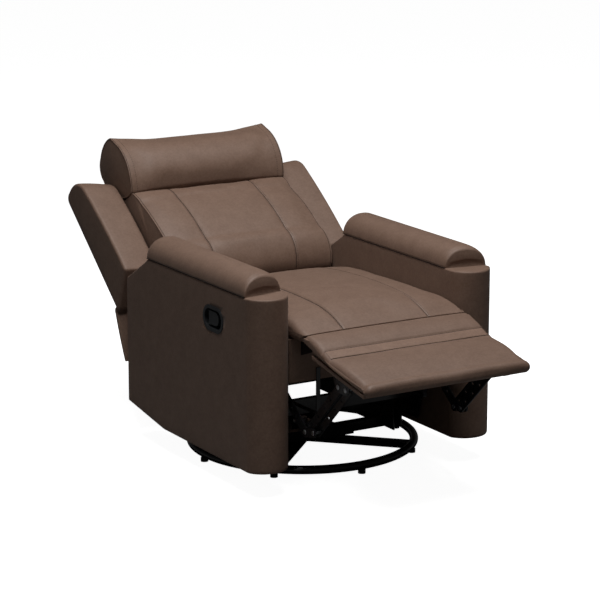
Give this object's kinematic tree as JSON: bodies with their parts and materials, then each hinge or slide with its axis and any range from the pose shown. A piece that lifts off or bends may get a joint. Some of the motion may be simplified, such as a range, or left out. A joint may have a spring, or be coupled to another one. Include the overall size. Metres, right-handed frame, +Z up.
{
  "type": "swivel glider recliner",
  "caption": "Upholstered armchair that swivels on a ring base, glides on hanging links, and reclines with a fold-out footrest worked by a pull handle in the arm.",
  "frame": {"origin": "on the floor under the swivel axis, which is also the centre of the chair's box with the back down and the footrest out", "axes": "+Z up, -Y to the chair's front, -X to the sitter's right, the side of the pull handle"},
  "size_m": [0.7925, 1.5321, 0.827],
  "materials": {
    "upholstery": "matt brown leather-look fabric, fine mottle",
    "black_steel": "gloss black paint",
    "zinc_steel": "bright zinc",
    "rubber": "matt black",
    "black_plastic": "satin moulded"
  },
  "bodies": {
    "base": {"base_ring": "black_steel", "base_feet": "rubber", "base_spokes": "black_steel", "swivel_hub": "black_steel", "swivel_washer": "black_plastic", "swivel_nut": "zinc_steel"},
    "swivel_frame": {"swivel_collar": "black_steel", "swivel_plate": "black_steel", "glider_cross_rails": "black_steel", "glider_bracket_left": "black_steel", "glider_bracket_right": "black_steel", "glide_pins_upper": "zinc_steel"},
    "glide_link_front_left": {"glide_link_front_left": "black_steel"},
    "glide_link_front_right": {"glide_link_front_right": "black_steel"},
    "glide_link_rear_left": {"glide_link_rear_left": "black_steel"},
    "glide_link_rear_right": {"glide_link_rear_right": "black_steel"},
    "carriage": {"glide_pins_lower": "zinc_steel", "glide_rails": "black_steel", "side_plate_left": "black_steel", "side_plate_right": "black_steel", "cross_tubes": "black_steel", "cross_member": "black_steel", "carriage_pins": "zinc_steel", "seat_rail_left": "black_steel", "seat_rail_right": "black_steel", "seat_cross_rails": "black_steel", "seat_springs": "zinc_steel", "seat_cushion": "upholstery", "front_rail": "upholstery", "hinge_plates": "black_steel", "hinge_pins": "zinc_steel", "front_straps": "black_steel", "rear_skirt": "upholstery", "arm_left": "upholstery", "arm_right": "upholstery", "arm_pad_left": "upholstery", "arm_pad_right": "upholstery", "handle_bezel": "black_plastic"},
    "handle": {"handle_paddle": "black_plastic"},
    "footrest": {"footrest_board": "upholstery", "footrest_pad": "upholstery", "footrest_brackets": "black_steel", "footrest_hinges": "black_steel", "footrest_pins": "zinc_steel", "footrest_bumpers": "rubber"},
    "thigh_links": {"thigh_link_left": "black_steel", "thigh_link_right": "black_steel", "drive_tube": "black_steel", "knee_pins": "zinc_steel"},
    "shin_link_left": {"shin_link_left": "black_steel"},
    "shin_link_right": {"shin_link_right": "black_steel"},
    "shin_stay_left": {"shin_stay_left": "black_steel"},
    "shin_stay_right": {"shin_stay_right": "black_steel"},
    "back": {"back_brackets": "black_steel", "back_shell": "upholstery", "wing_left": "upholstery", "wing_right": "upholstery", "lower_back_panel": "upholstery", "back_cushion": "upholstery", "headrest": "upholstery"}
  },
  "joints": [
    {"name": "swivel", "type": "hinge", "parent": "base", "child": "swivel_frame", "pos_m": [0, 0, 0.052], "axis": [0, 0, 1], "continuous": true},
    {"name": "glide", "type": "hinge", "parent": "swivel_frame", "child": "glide_link_front_left", "pos_m": [0.209, -0.15, 0.205], "axis": [1, 0, 0], "range_deg": [-16, 16]},
    {"name": "glide_front_right", "type": "hinge", "parent": "swivel_frame", "child": "glide_link_front_right", "pos_m": [-0.209, -0.15, 0.205], "axis": [1, 0, 0], "range_deg": [-16, 16]},
    {"name": "glide_rear_left", "type": "hinge", "parent": "swivel_frame", "child": "glide_link_rear_left", "pos_m": [0.209, 0.15, 0.205], "axis": [1, 0, 0], "range_deg": [-16, 16]},
    {"name": "glide_rear_right", "type": "hinge", "parent": "swivel_frame", "child": "glide_link_rear_right", "pos_m": [-0.209, 0.15, 0.205], "axis": [1, 0, 0], "range_deg": [-16, 16]},
    {"name": "carriage_on_link", "type": "hinge", "parent": "glide_link_front_left", "child": "carriage", "pos_m": [0.209, -0.15, 0.095], "axis": [1, 0, 0], "range_deg": [-16, 16]},
    {"name": "footrest_fold", "type": "hinge", "parent": "carriage", "child": "footrest", "pos_m": [0, -0.464, 0.428], "axis": [1, 0, 0], "range_deg": [0, 80]},
    {"name": "thigh_swing", "type": "hinge", "parent": "carriage", "child": "thigh_links", "pos_m": [0, -0.29, 0.29], "axis": [1, 0, 0], "range_deg": [0, 72.19]},
    {"name": "shin_left", "type": "hinge", "parent": "thigh_links", "child": "shin_link_left", "pos_m": [0.241, -0.43, 0.185], "axis": [1, 0, 0], "range_deg": [-68.69, 0]},
    {"name": "shin_right", "type": "hinge", "parent": "thigh_links", "child": "shin_link_right", "pos_m": [-0.241, -0.43, 0.185], "axis": [1, 0, 0], "range_deg": [-68.69, 0]},
    {"name": "stay_left", "type": "hinge", "parent": "thigh_links", "child": "shin_stay_left", "pos_m": [0.234, -0.4725, 0.192], "axis": [1, 0, 0], "range_deg": [-71.49, 0]},
    {"name": "stay_right", "type": "hinge", "parent": "thigh_links", "child": "shin_stay_right", "pos_m": [-0.234, -0.4725, 0.192], "axis": [1, 0, 0], "range_deg": [-71.49, 0]},
    {"name": "recline", "type": "hinge", "parent": "carriage", "child": "back", "pos_m": [0, 0.195, 0.355], "axis": [1, 0, 0], "range_deg": [0, 40]},
    {"name": "handle_pull", "type": "hinge", "parent": "carriage", "child": "handle", "pos_m": [-0.387, -0.156, 0.468], "axis": [0, 0, 1], "range_deg": [-24, 0], "stiffness_Nm_per_rad": 0.5}
  ],
  "couplings": [
    {"joint": "glide_front_right", "follows": "glide", "ratio": 1},
    {"joint": "glide_rear_left", "follows": "glide", "ratio": 1},
    {"joint": "glide_rear_right", "follows": "glide", "ratio": 1},
    {"joint": "carriage_on_link", "follows": "glide", "ratio": -1},
    {"joint": "thigh_swing", "follows": "footrest_fold", "ratio": 0.90232},
    {"joint": "shin_left", "follows": "footrest_fold", "ratio": -0.85845},
    {"joint": "shin_right", "follows": "footrest_fold", "ratio": -0.85845},
    {"joint": "stay_left", "follows": "footrest_fold", "ratio": -0.89341},
    {"joint": "stay_right", "follows": "footrest_fold", "ratio": -0.89341}
  ]
}
